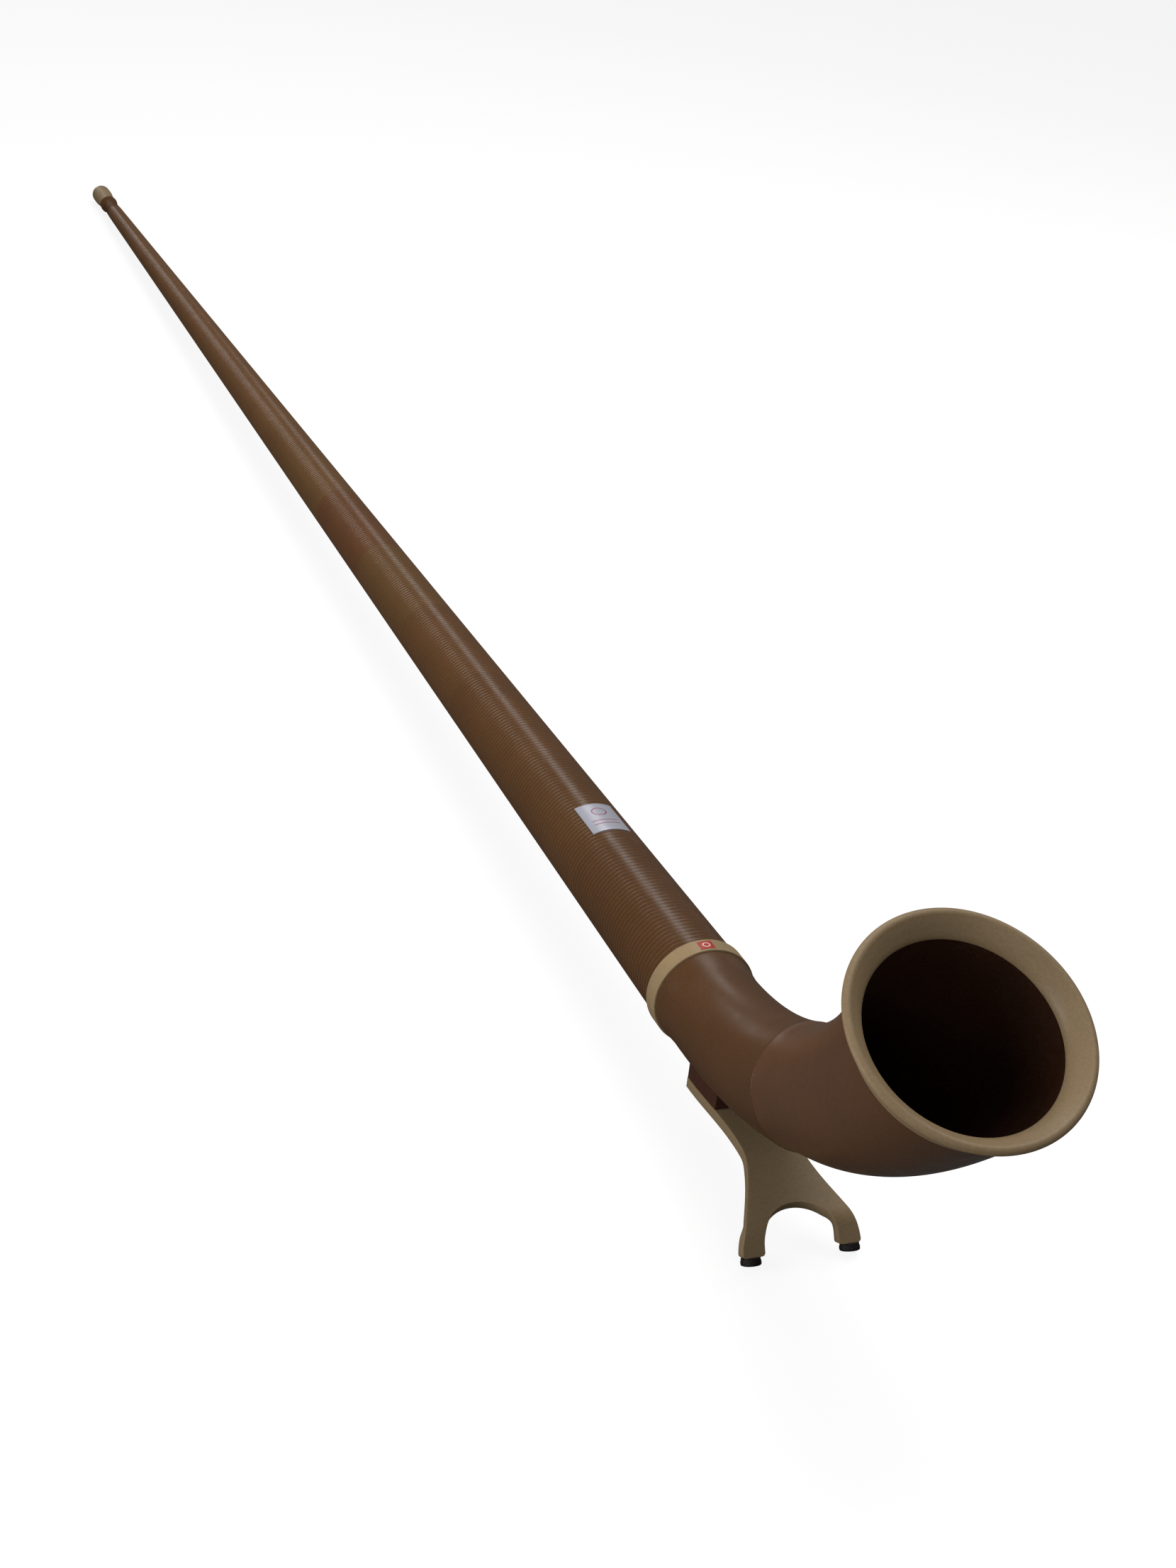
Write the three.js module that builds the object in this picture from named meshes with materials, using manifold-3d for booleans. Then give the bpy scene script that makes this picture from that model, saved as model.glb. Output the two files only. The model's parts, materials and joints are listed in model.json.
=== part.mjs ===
import * as THREE from 'three';
import { mergeVertices } from 'three/addons/utils/BufferGeometryUtils.js';
import Module from 'manifold-3d';

// An alphorn in playing trim: a long ribbed conical tube of fourteen equal sections,
// a bend, a flared bell with a pale rim, a pale coupling ring, and a pale two-legged stand
// under the bend. Units are millimetres. In the horn's own frame +X runs along the
// straight tube towards the bell, +Z is the side that the bell turns to, and the
// origin is on the axis at the coupling, where the tube plugs into the bend.

// Straight tube
const sectionCount = 14;
const sectionLength = 210;
const tubeMouthRadius = 14;
const tubeBellRadius = 46.5;
const tubeMouthWall = 6;
const tubeBellWall = 3.5;
const lapWallShare = 0.6;
const fixedLap = 15;
const fitGap = 0.3;

// Plug joints that a player pulls apart
const upperPlugLap = 45;
const lowerPlugLap = 34;
const sectionsAboveUpperPlug = 8;

// Bend and bell, measured along their centre line from the coupling
const leadLength = 40;
const bendRadius = 473.5;
const bendTurn = THREE.MathUtils.degToRad(58.6);
const bellEndLength = 8.5;
const throatStep = 0.6;
const socketWall = 1.6;
const flareRadius = 90;
const flarePower = 1.94;
const lipSwell = 2.8;
const lipSwellPower = 14;
const shoulderSwell = 2;
const shoulderEnd = 50;
const shoulderRings = 5;
const bellWall = 4;
const bendLength = 242;
const bendRings = 12;
const bellRings = 18;

// Coupling ring
const couplingRingWall = 2.6;
const couplingRingLength = 19.3;
const couplingRingChamfer = 1;

// Bell rim
const rimRadius = 100;
const rimThroatRadius = 80;
const rimLength = 23.5;
const rimBeadRadius = 4.2;
const rimSkirt = 3;
const rimSeatLength = 6;
const rimBeadTurn = THREE.MathUtils.degToRad(135);
const rimBeadSteps = 8;
const rimFlarePower = 1.6;
const rimFlareSteps = 4;

// Mouth receiver
const receiverLength = 72;
const receiverNeckRadius = 12.8;
const receiverFlareRadius = 16.2;
const receiverFlareLength = 14;
const receiverLip = 3;

// Mouthpiece
const mouthpieceReach = 84;
const mouthpieceRadius = 17.4;
const mouthpieceStemRadius = 14;
const shankLength = 32;
const shankRadius = 6.4;
const shankTaper = 0.6;
const cupRadius = 9;
const cupDepth = 17;
const mouthpieceHeadShare = 0.3;
const mouthpieceSteps = 5;
const throatBoreRadius = 3;
const backboreRadius = 4.6;

// Stand board, measured along its upper face from its rear edge
const boardThickness = 10;
const boardRearX = 65;
const boardDropBelowThroat = 7.8;
const boardFlatLength = 117;
const heelRadius = 46;
const heelTurn = THREE.MathUtils.degToRad(22.5);
const shinLength = 52.5;
const toeRadius = 22;
const toeTurn = THREE.MathUtils.degToRad(40);
const toeLength = 16.5;
const boardRearHalfWidth = 28.8;
const boardNeckHalfWidth = 24;
const boardFootHalfWidth = 55.5;
const boardNeckAt = 88;
const boardSplayPower = 1.4;
const boardFlatSteps = 6;
const boardHeelSteps = 7;
const archRadius = 34.8;
const archRise = 43.2;
const archSteps = 9;

// Saddle block
const blockLength = 55;
const blockRise = 17;

// Rubber feet
const footRadius = 9;
const footHeight = 6.7;
const footChamfer = 1.2;
const footOffset = 46.5;
const studRadius = 3;
const studLength = 12;

// Stand screws
const screwHeadRadius = 4.2;
const screwHeadHeight = 2.4;
const screwShankRadius = 1.9;
const screwLength = 15;
const screwOffset = 14;
const screwInset = 14;

// Faces round each turned form
const roundFaces = 24;
const smallFaces = 16;
const overrun = 20;

const wasm = await Module();
wasm.setup();

const tubeLength = sectionCount * sectionLength;

const boreMouthRadius = tubeMouthRadius - tubeMouthWall;
const boreBellRadius = tubeBellRadius - tubeBellWall;
const tubeRadiusAt = (x) => THREE.MathUtils.mapLinear(x, -tubeLength, 0, tubeMouthRadius, tubeBellRadius);
const boreRadiusAt = (x) => THREE.MathUtils.mapLinear(x, -tubeLength, 0, boreMouthRadius, boreBellRadius);
const lapRadiusAt = (x) => THREE.MathUtils.lerp(boreRadiusAt(x), tubeRadiusAt(x), lapWallShare);

// Where the tube plugs into the bend, each wall is counted outwards from the plug.
const throatRadius = tubeBellRadius - throatStep;
const socketRadius = lapRadiusAt(0) + fitGap;
const bendSeatRadius = socketRadius + socketWall;
const ringSeat = bendSeatRadius + fitGap;
const couplingRingRadius = ringSeat + couplingRingWall;
const boardTopDrop = throatRadius + boardDropBelowThroat;

const material = (color, roughness, metalness = 0) =>
  new THREE.MeshStandardMaterial({ color, roughness, metalness });

const brown = () => material(0x5a3d2a, 0.42);
const cream = () => material(0x968266, 0.5);
const rubber = () => material(0x241c1a, 0.85);
const steel = () => material(0x8f9092, 0.35, 1);

// A planar path in the XZ plane: straight legs and arcs, walked by distance.
function pathAt(path, distance) {
  let x = path.x;
  let z = path.z;
  let angle = 0;
  let left = distance;
  for (const [index, leg] of path.legs.entries()) {
    const last = index === path.legs.length - 1;
    const run = last ? left : Math.min(left, leg.length);
    if (leg.radius) {
      const turn = (run / leg.radius) * leg.side;
      x += leg.side * leg.radius * (Math.sin(angle + turn) - Math.sin(angle));
      z -= leg.side * leg.radius * (Math.cos(angle + turn) - Math.cos(angle));
      angle += turn;
    } else {
      x += run * Math.cos(angle);
      z += run * Math.sin(angle);
    }
    left -= run;
    if (left <= 0) break;
  }
  return { x, z, angle };
}

const straight = (length) => ({ length });
const arc = (radius, turn, side) => ({ length: radius * turn, radius, side });

const hornPath = {
  x: 0,
  z: 0,
  legs: [straight(leadLength), arc(bendRadius, bendTurn, 1), straight(bellEndLength)],
};
const hornPathLength = leadLength + bendRadius * bendTurn + bellEndLength;

const boardPath = {
  x: boardRearX,
  z: -boardTopDrop,
  legs: [
    straight(boardFlatLength),
    arc(heelRadius, heelTurn, -1),
    straight(shinLength),
    arc(toeRadius, toeTurn, -1),
    straight(toeLength),
  ],
};
const boardLength = boardPath.legs.reduce((sum, leg) => sum + leg.length, 0);

// A closed profile of [radius, distance] pairs, turned about the X axis.
function turned(profile, faces = roundFaces) {
  const points = [...profile, profile[0]].map(([radius, distance]) => new THREE.Vector2(radius, distance));
  const geometry = new THREE.LatheGeometry(points, faces);
  geometry.rotateZ(-Math.PI / 2);
  return geometry;
}

// The same turned form, with its axis laid along a planar path.
function bent(profile, path, faces = roundFaces) {
  const geometry = turned(profile, faces);
  const position = geometry.attributes.position;
  for (let i = 0; i < position.count; i += 1) {
    const at = pathAt(path, position.getX(i));
    const up = position.getZ(i);
    position.setX(i, at.x - up * Math.sin(at.angle));
    position.setZ(i, at.z + up * Math.cos(at.angle));
  }
  geometry.computeVertexNormals();
  return geometry;
}

function solid(geometry) {
  const bare = geometry.index ? geometry.toNonIndexed() : geometry.clone();
  bare.deleteAttribute('normal');
  bare.deleteAttribute('uv');
  const merged = mergeVertices(bare);
  return new wasm.Manifold(new wasm.Mesh({
    numProp: 3,
    vertProperties: merged.attributes.position.array,
    triVerts: Uint32Array.from(merged.index.array),
  }));
}

function geometryOf(manifold) {
  const mesh = manifold.getMesh();
  const geometry = new THREE.BufferGeometry();
  geometry.setAttribute('position', new THREE.BufferAttribute(mesh.vertProperties, 3));
  geometry.setIndex(new THREE.BufferAttribute(mesh.triVerts, 1));
  geometry.computeVertexNormals();
  return geometry;
}

// A closed body from rings of four corners, each ring joined to the next.
function lofted(rings) {
  const corners = rings.flat().flatMap((corner) => [corner.x, corner.y, corner.z]);
  const index = [0, 1, 2, 0, 2, 3];
  for (let ring = 0; ring + 1 < rings.length; ring += 1) {
    for (let side = 0; side < 4; side += 1) {
      const a = ring * 4 + side;
      const b = ring * 4 + ((side + 1) % 4);
      index.push(a, a + 4, b, b, a + 4, b + 4);
    }
  }
  const end = (rings.length - 1) * 4;
  index.push(end, end + 2, end + 1, end, end + 3, end + 2);
  const geometry = new THREE.BufferGeometry();
  geometry.setAttribute('position', new THREE.Float32BufferAttribute(corners, 3));
  geometry.setIndex(index);
  return geometry;
}

const steps = (from, to, count) =>
  Array.from({ length: count + 1 }, (_, i) => THREE.MathUtils.lerp(from, to, i / count));

const horn = new THREE.Group();

function add(name, geometry, finish) {
  const mesh = new THREE.Mesh(geometry, finish);
  mesh.name = name;
  horn.add(mesh);
  return mesh;
}

// Tube sections: hollow cones, each with a thin spigot at its bell end that plugs into a
// recess in the next section's mouth end. The last spigot plugs into the bend.
function lapAfter(section) {
  if (section === sectionsAboveUpperPlug) return upperPlugLap;
  return section === sectionCount ? lowerPlugLap : fixedLap;
}

function tubeSection(section) {
  const start = (section - 1) * sectionLength - tubeLength;
  const end = start + sectionLength - fitGap;
  const spigot = lapRadiusAt(start + sectionLength);
  const spigotEnd = end + lapAfter(section);
  const recess = lapRadiusAt(start) + fitGap;
  const recessEnd = start + lapAfter(section - 1) + fitGap;
  return turned([
    [recess, start],
    [tubeRadiusAt(start), start],
    [tubeRadiusAt(end), end],
    [spigot, end],
    [spigot, spigotEnd],
    [boreRadiusAt(spigotEnd), spigotEnd],
    [boreRadiusAt(recessEnd), recessEnd],
    [recess, recessEnd],
  ]);
}

for (let section = 1; section <= sectionCount; section += 1) {
  add(`tube_section_${String(section).padStart(2, '0')}`, tubeSection(section), brown());
}

// Mouth receiver: a smooth sleeve with a flared end, plugged into the first section.
const receiverStart = -tubeLength - receiverLength;
const shankHoleRadius = shankRadius + fitGap;

add('mouth_receiver', turned([
  [shankHoleRadius, receiverStart],
  [receiverFlareRadius - receiverLip / 2, receiverStart],
  [receiverFlareRadius, receiverStart + receiverLip],
  [receiverFlareRadius, receiverStart + 2 * receiverLip],
  [receiverNeckRadius, receiverStart + 2 * receiverLip + receiverFlareLength],
  [tubeMouthRadius, -tubeLength - fitGap],
  [lapRadiusAt(-tubeLength), -tubeLength - fitGap],
  [lapRadiusAt(-tubeLength), -tubeLength + fixedLap - fitGap],
  [boreMouthRadius, -tubeLength + fixedLap - fitGap],
  [backboreRadius, receiverStart + shankLength + fitGap],
  [shankHoleRadius - shankTaper, receiverStart + shankLength + fitGap],
]), brown());

// Mouthpiece: a shank in the receiver, a stem that swells towards the lips, and a cup.
const lipX = receiverStart - mouthpieceReach;
const stemX = receiverStart - fitGap;
const cupFloorX = lipX + cupDepth;
const stemSwell = mouthpieceRadius - mouthpieceStemRadius;
const lipRound = (mouthpieceRadius - cupRadius) / 2;

const mouthpieceProfile = [
  [cupRadius, lipX + lipRound / 2],
  [cupRadius + lipRound / 2, lipX],
  [mouthpieceRadius - lipRound, lipX],
  [mouthpieceRadius - lipRound / 3, lipX + lipRound / 2],
  [mouthpieceRadius, lipX + 2 * lipRound],
];
for (const share of steps(mouthpieceHeadShare, 1, mouthpieceSteps)) {
  const swell = 1 - THREE.MathUtils.smoothstep(share, 0, 1);
  mouthpieceProfile.push([
    mouthpieceStemRadius + stemSwell * swell,
    THREE.MathUtils.lerp(lipX, stemX, share),
  ]);
}
mouthpieceProfile.push(
  [shankRadius, stemX],
  [shankRadius - shankTaper, receiverStart + shankLength],
  [backboreRadius, receiverStart + shankLength],
  [throatBoreRadius, cupFloorX + cupDepth / 2],
  [throatBoreRadius, cupFloorX],
  [cupRadius * Math.SQRT1_2, cupFloorX - cupDepth / 4],
  [cupRadius, lipX + cupDepth / 2],
);
add('mouthpiece', turned(mouthpieceProfile), cream());

// Coupling ring: a pale band round the bend's socket.
add('coupling_ring', turned([
  [ringSeat, 0],
  [couplingRingRadius - couplingRingChamfer, 0],
  [couplingRingRadius, couplingRingChamfer],
  [couplingRingRadius, couplingRingLength - couplingRingChamfer],
  [couplingRingRadius - couplingRingChamfer, couplingRingLength],
  [ringSeat, couplingRingLength],
]), cream());

// Bend and bell: one flare along the curved path, parted at a glued lap. The wall swells to
// a shoulder that the coupling ring rests against, and again to a lip inside the rim.
const shoulderStart = couplingRingLength + fitGap;

function flareRadiusAt(distance) {
  const share = distance / hornPathLength;
  return throatRadius + (flareRadius - throatRadius) * share ** flarePower;
}

function outsideRadiusAt(distance) {
  const shoulder = 1 - THREE.MathUtils.smoothstep(distance, shoulderStart, shoulderEnd);
  const lip = (distance / hornPathLength) ** lipSwellPower;
  return flareRadiusAt(distance) + shoulderSwell * shoulder + lipSwell * lip;
}

const outsideLine = (from, to, count, growth = 0) =>
  steps(from, to, count).map((distance) => [outsideRadiusAt(distance) + growth, distance]);
const insideLine = (from, to, count) =>
  steps(from, to, count).map((distance) => [flareRadiusAt(distance) - bellWall, distance]);

const bendLapRadius = flareRadiusAt(bendLength) - bellWall / 2;
const bendLapEnd = bendLength + fixedLap;
const socketEnd = lowerPlugLap + fitGap;

add('bend', bent([
  [socketRadius, 0],
  [bendSeatRadius, 0],
  [bendSeatRadius, shoulderStart],
  ...outsideLine(shoulderStart, shoulderEnd, shoulderRings),
  ...outsideLine(shoulderEnd, bendLength, bendRings).slice(1),
  [bendLapRadius, bendLength],
  [bendLapRadius, bendLapEnd],
  ...insideLine(bendLapEnd, socketEnd, bendRings),
  [socketRadius, socketEnd],
], hornPath), brown());

const rimRear = hornPathLength - rimLength;
const rimSeatEnd = rimRear + rimSeatLength;
const rimSeatRadius = outsideRadiusAt(rimRear) - bellWall / 2;
const bellStart = bendLength + fitGap;
const bellRecessEnd = bendLapEnd + fitGap;

add('bell', bent([
  [bendLapRadius + fitGap, bellStart],
  ...outsideLine(bellStart, rimRear, bellRings),
  [rimSeatRadius, rimRear],
  [rimSeatRadius, rimSeatEnd],
  ...insideLine(rimSeatEnd, bellRecessEnd, bellRings),
  [bendLapRadius + fitGap, bellRecessEnd],
], hornPath), brown());

// Bell rim: a turned ring whose flared lip ends in a round bead.
const beadRadiusAt = rimRadius - rimBeadRadius;
const beadDistance = hornPathLength - rimBeadRadius;
const rimSkirtRadius = rimSeatRadius + rimSkirt;
const rimSeatGapEnd = rimSeatEnd + fitGap;

function rimFlare(fromRadius, fromDistance, toRadius, toDistance) {
  return steps(0, 1, rimFlareSteps).map((share) => [
    THREE.MathUtils.lerp(fromRadius, toRadius, share ** rimFlarePower),
    THREE.MathUtils.lerp(fromDistance, toDistance, share),
  ]);
}

const beadArc = steps(0, rimBeadTurn, rimBeadSteps).map((angle) => [
  beadRadiusAt + rimBeadRadius * Math.cos(angle),
  beadDistance + rimBeadRadius * Math.sin(angle),
]);
const [beadInnerRadius, beadInnerDistance] = beadArc.at(-1);
const rimInside = rimFlare(rimThroatRadius, rimSeatGapEnd, beadInnerRadius, beadInnerDistance);

add('bell_rim', bent([
  [rimSeatRadius + fitGap, rimRear + fitGap],
  ...rimFlare(rimSkirtRadius, rimRear + fitGap, rimRadius, beadDistance).slice(0, -1),
  ...beadArc,
  ...rimInside.reverse().slice(1),
  [rimSeatRadius + fitGap, rimSeatGapEnd],
], hornPath), cream());

// Stand board: bent down at the heel and toes, with a narrow neck, two legs and a round arch.
function boardHalfWidthAt(distance) {
  if (distance < boardNeckAt) {
    const share = THREE.MathUtils.smoothstep(distance, 0, boardNeckAt);
    return THREE.MathUtils.lerp(boardRearHalfWidth, boardNeckHalfWidth, share);
  }
  const share = (distance - boardNeckAt) / (boardLength - boardNeckAt);
  const splay = THREE.MathUtils.smoothstep(share ** boardSplayPower, 0, 1);
  return THREE.MathUtils.lerp(boardNeckHalfWidth, boardFootHalfWidth, splay);
}

const archCentre = boardLength - archRise + archRadius;

function archHalfWidthAt(distance) {
  if (distance >= archCentre) return archRadius;
  return Math.sqrt(Math.max(archRadius ** 2 - (archCentre - distance) ** 2, 0));
}

function boardRing(distance, side) {
  const at = pathAt(boardPath, distance);
  const inner = side * archHalfWidthAt(distance);
  const outer = side * boardHalfWidthAt(distance);
  const corner = (y, depth) => new THREE.Vector3(
    at.x + depth * Math.sin(at.angle),
    y,
    at.z - depth * Math.cos(at.angle),
  );
  const upper = [corner(inner, 0), corner(outer, 0)];
  const lower = [corner(outer, boardThickness), corner(inner, boardThickness)];
  const ring = [...upper, ...lower];
  return side > 0 ? ring : ring.reverse();
}

const archTop = archCentre - archRadius;
const boardStations = [
  ...steps(0, boardFlatLength, boardFlatSteps),
  ...steps(boardFlatLength, archTop, boardHeelSteps).slice(1),
  ...steps(0, Math.PI / 2, archSteps).slice(1).map((angle) => archCentre - archRadius * Math.cos(angle)),
  boardLength,
];

const legEnd = pathAt(boardPath, boardLength);
const legDirection = new THREE.Vector3(Math.cos(legEnd.angle), 0, Math.sin(legEnd.angle));
const legNormal = new THREE.Vector3(-legDirection.z, 0, legDirection.x);
const legEndCentre = (side) => new THREE.Vector3(legEnd.x, side * footOffset, legEnd.z)
  .addScaledVector(legNormal, -boardThickness / 2);

function stud(radius, length) {
  const geometry = new THREE.CylinderGeometry(radius, radius, length, smallFaces);
  geometry.rotateZ(-Math.PI / 2);
  return geometry;
}

function placedAlongLeg(geometry, side, advance) {
  const placed = geometry.clone();
  placed.rotateY(-legEnd.angle);
  const at = legEndCentre(side).addScaledVector(legDirection, advance);
  placed.translate(at.x, at.y, at.z);
  return placed;
}

const screwPlaces = [];
for (const x of [boardRearX + screwInset, boardRearX + blockLength - screwInset]) {
  for (const side of [-1, 1]) screwPlaces.push([x, side * screwOffset]);
}
const boardUnderside = -boardTopDrop - boardThickness;

function screwForm(clearance) {
  const points = [
    [0, -clearance],
    [screwHeadRadius + clearance, -clearance],
    [screwShankRadius + clearance, screwHeadHeight],
    [screwShankRadius + clearance, screwLength + clearance],
    [0, screwLength + clearance],
  ].map(([radius, height]) => new THREE.Vector2(radius, height));
  const geometry = new THREE.LatheGeometry(points, smallFaces);
  geometry.rotateX(Math.PI / 2);
  return geometry;
}

function screwsWith(clearance) {
  return screwPlaces.map(([x, y]) => screwForm(clearance).translate(x, y, boardUnderside));
}

let board = solid(lofted(boardStations.map((distance) => boardRing(distance, 1))))
  .add(solid(lofted(boardStations.map((distance) => boardRing(distance, -1)))));
const studHole = stud(studRadius + fitGap, 2 * (studLength + fitGap));
for (const side of [-1, 1]) board = board.subtract(solid(placedAlongLeg(studHole, side, 0)));
for (const screw of screwsWith(fitGap)) board = board.subtract(solid(screw));
add('stand_board', geometryOf(board), cream());

// Saddle block: a tapered block on the board, hollowed on top to fit the bend.
const blockOutline = new THREE.Shape([
  new THREE.Vector2(boardRearX, -boardHalfWidthAt(0)),
  new THREE.Vector2(boardRearX + blockLength, -boardHalfWidthAt(blockLength)),
  new THREE.Vector2(boardRearX + blockLength, boardHalfWidthAt(blockLength)),
  new THREE.Vector2(boardRearX, boardHalfWidthAt(0)),
]);
const blockBlank = new THREE.ExtrudeGeometry(blockOutline, { depth: blockRise, bevelEnabled: false });
blockBlank.translate(0, 0, -boardTopDrop + fitGap);
const bendOuterFrom = boardRearX - overrun;
const bendOuterTo = boardRearX + blockLength + overrun;
const bendOutside = bent([
  [0, bendOuterFrom],
  ...outsideLine(bendOuterFrom, bendOuterTo, bendRings, fitGap),
  [0, bendOuterTo],
], hornPath);
let block = solid(blockBlank).subtract(solid(bendOutside));
for (const screw of screwsWith(fitGap)) block = block.subtract(solid(screw));
add('saddle_block', geometryOf(block), brown());

// Stand screws: countersunk from below, through the board into the block.
screwsWith(0).forEach((screw, index) => add(`stand_screw_${index + 1}`, screw, steel()));

// Rubber feet: short studs with a moulded pin that sits in the end of each leg.
for (const [name, side] of [['foot_left', 1], ['foot_right', -1]]) {
  const foot = turned([
    [0, -studLength],
    [studRadius, -studLength],
    [studRadius, fitGap],
    [footRadius, fitGap],
    [footRadius, footHeight - footChamfer],
    [footRadius - footChamfer, footHeight],
    [0, footHeight],
  ], smallFaces);
  add(name, placedAlongLeg(foot, side, 0), rubber());
}

// At rest the horn lies on the rear edges of its two soles and on the mouthpiece. The
// part's own frame has the floor at Z = 0 and its origin under the middle of the horn.
const soleRear = legEndCentre(0)
  .addScaledVector(legDirection, footHeight)
  .addScaledVector(legNormal, footChamfer - footRadius);
const lipLow = new THREE.Vector3(lipX + 2 * lipRound, 0, -mouthpieceRadius);
const restTilt = Math.atan2(lipLow.z - soleRear.z, soleRear.x - lipLow.x);
horn.rotation.y = -restTilt;
const lying = new THREE.Box3().setFromObject(horn, true);
horn.position.set(-(lying.min.x + lying.max.x) / 2, 0, -lying.min.z);

const alphorn = new THREE.Group();
alphorn.add(horn);

export default alphorn;
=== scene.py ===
import json
import math
import bpy
import numpy as np
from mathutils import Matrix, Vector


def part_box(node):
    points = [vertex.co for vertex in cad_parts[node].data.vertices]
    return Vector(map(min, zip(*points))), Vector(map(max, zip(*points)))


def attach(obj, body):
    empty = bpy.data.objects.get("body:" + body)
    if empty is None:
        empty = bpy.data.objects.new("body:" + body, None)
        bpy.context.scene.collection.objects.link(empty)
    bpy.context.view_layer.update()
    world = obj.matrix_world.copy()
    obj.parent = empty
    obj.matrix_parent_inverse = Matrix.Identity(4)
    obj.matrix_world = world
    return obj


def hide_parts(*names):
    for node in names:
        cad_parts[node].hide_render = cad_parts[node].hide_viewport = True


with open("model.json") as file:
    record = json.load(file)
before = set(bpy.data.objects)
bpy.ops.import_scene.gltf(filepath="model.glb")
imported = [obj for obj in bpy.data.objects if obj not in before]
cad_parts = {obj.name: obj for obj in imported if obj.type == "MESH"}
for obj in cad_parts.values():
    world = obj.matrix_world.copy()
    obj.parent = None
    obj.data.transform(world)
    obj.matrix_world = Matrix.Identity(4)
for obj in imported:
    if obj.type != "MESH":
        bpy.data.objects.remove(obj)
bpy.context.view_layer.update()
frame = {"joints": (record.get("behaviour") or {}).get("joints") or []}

# Camera
# A view from in front of the bell and to its right, looking down and back along the tube, with
# the camera rolled a little, through a lens of 73 mm on a full frame. Its place is given from
# the collar, the band between the straight tube and the bend.
collar_length = 0.0193
collar_low, collar_high = (np.array(corner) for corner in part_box("coupling_ring"))
along = -np.array(frame["joints"][0]["axis"])
along /= np.linalg.norm(along)
across = np.array((0.0, 1.0, 0.0))
upward = np.cross(along, across)
collar = (collar_low + collar_high) / 2 - along * collar_length / 2


def in_frame(x, y, z):
    """Horn coordinates to the frame: x along the tube from the collar, y across it, and z up
    from its axis."""
    parts = np.broadcast_arrays(x, y, z)
    return collar + sum(part[..., None] * axis for part, axis in zip(parts, (along, across, upward)))


photo_width_px = 1659
focal_length_px = 3350
sensor_width_mm = 36
camera_place = in_frame(1.69498, -0.85618, 1.1106)
view_axis = -0.827443 * along + 0.354363 * across - 0.43562 * upward
image_up = -0.44156 * along + 0.068681 * across + 0.894602 * upward
farthest_seen = 200

camera = bpy.data.objects.new("camera", bpy.data.cameras.new("camera"))
camera.data.sensor_fit = "HORIZONTAL"
camera.data.sensor_width = sensor_width_mm
camera.data.lens = focal_length_px / photo_width_px * sensor_width_mm
camera.data.clip_end = farthest_seen
turned = np.eye(4)
turned[:3, 0] = np.cross(view_axis, image_up)
turned[:3, 1] = image_up
turned[:3, 2] = -view_axis
turned[:3, 3] = camera_place
camera.matrix_world = turned.T.tolist()
bpy.context.scene.collection.objects.link(camera)
bpy.context.scene.camera = camera
bpy.context.scene.view_settings.view_transform = "Standard"


# Studio
# A plain pale floor under seven soft lamps: two overhead draw the streak on the rings, a narrow
# one far behind the mouthpiece draws the bend's highlight, and four more and a dim world fill in.
def wired(tree, kind, values=(), **settings):
    """Adds a node. An input given a socket is linked to it, and any other value is set."""
    made = tree.nodes.new(kind)
    for key, value in settings.items():
        setattr(made, key, value)
    for key, value in dict(values).items():
        if isinstance(value, bpy.types.NodeSocket):
            tree.links.new(value, made.inputs[key])
        else:
            made.inputs[key].default_value = value
    return made


def calc(tree, operation, *values, clamped=False):
    """A math node's result."""
    made = wired(tree, "ShaderNodeMath", enumerate(values), operation=operation, use_clamp=clamped)
    return made.outputs[0]


def seen_directly(tree):
    """1 on rays from the camera and through clear things, and 0 on all others."""
    rays = wired(tree, "ShaderNodeLightPath")
    return calc(tree, "MAXIMUM", rays.outputs["Is Camera Ray"], rays.outputs["Is Transmission Ray"])


def bare_material(name):
    """A material with nothing in its node tree."""
    made = bpy.data.materials.new(name)
    made.use_nodes = True
    made.node_tree.nodes.clear()
    return made, made.node_tree


def soft_panel(name, place, aim, size, power):
    """A rectangular lamp at a place, facing a point, hidden from the camera itself."""
    lamp = bpy.data.lights.new(name, "AREA")
    lamp.shape = "RECTANGLE"
    lamp.size, lamp.size_y = size
    lamp.energy = power
    holder = bpy.data.objects.new(name, lamp)
    facing = np.subtract(place, aim) / np.linalg.norm(np.subtract(place, aim))
    side = np.cross((0, 0, 1), facing)
    side /= np.linalg.norm(side)
    pose = np.eye(4)
    pose[:3, 0], pose[:3, 1], pose[:3, 2], pose[:3, 3] = side, np.cross(facing, side), facing, place
    holder.matrix_world = pose.T.tolist()
    holder.visible_camera = False
    bpy.context.scene.collection.objects.link(holder)


soft_panel("panel_strip", place=(-0.8, 0.5, 3.0), aim=(0.8, 0, 0.1), size=(0.8, 1.5), power=13)
soft_panel("panel_strip_far", place=(-2.9, 0.8, 2.7), aim=(-0.6, 0, 0.1), size=(0.7, 1.8), power=11)
soft_panel("panel_far", place=(-8, -0.5, 1.8), aim=(1, 0, 0.4), size=(0.8, 3.4), power=17)
soft_panel("panel_above", place=(0.6, 0.9, 3.4), aim=(0.9, 0, 0), size=(3.0, 3.0), power=78)
soft_panel("panel_left", place=(1.4, -3.6, 1.1), aim=(0.9, 0, 0.1), size=(2.6, 1.8), power=98)
soft_panel("panel_right", place=(-0.6, 3.2, 2.1), aim=(0.8, 0, 0.1), size=(0.8, 1.4), power=16)
soft_panel("panel_front", place=(4.4, -0.8, 1.4), aim=(1.5, 0, 0.2), size=(2.4, 1.8), power=17)

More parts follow.
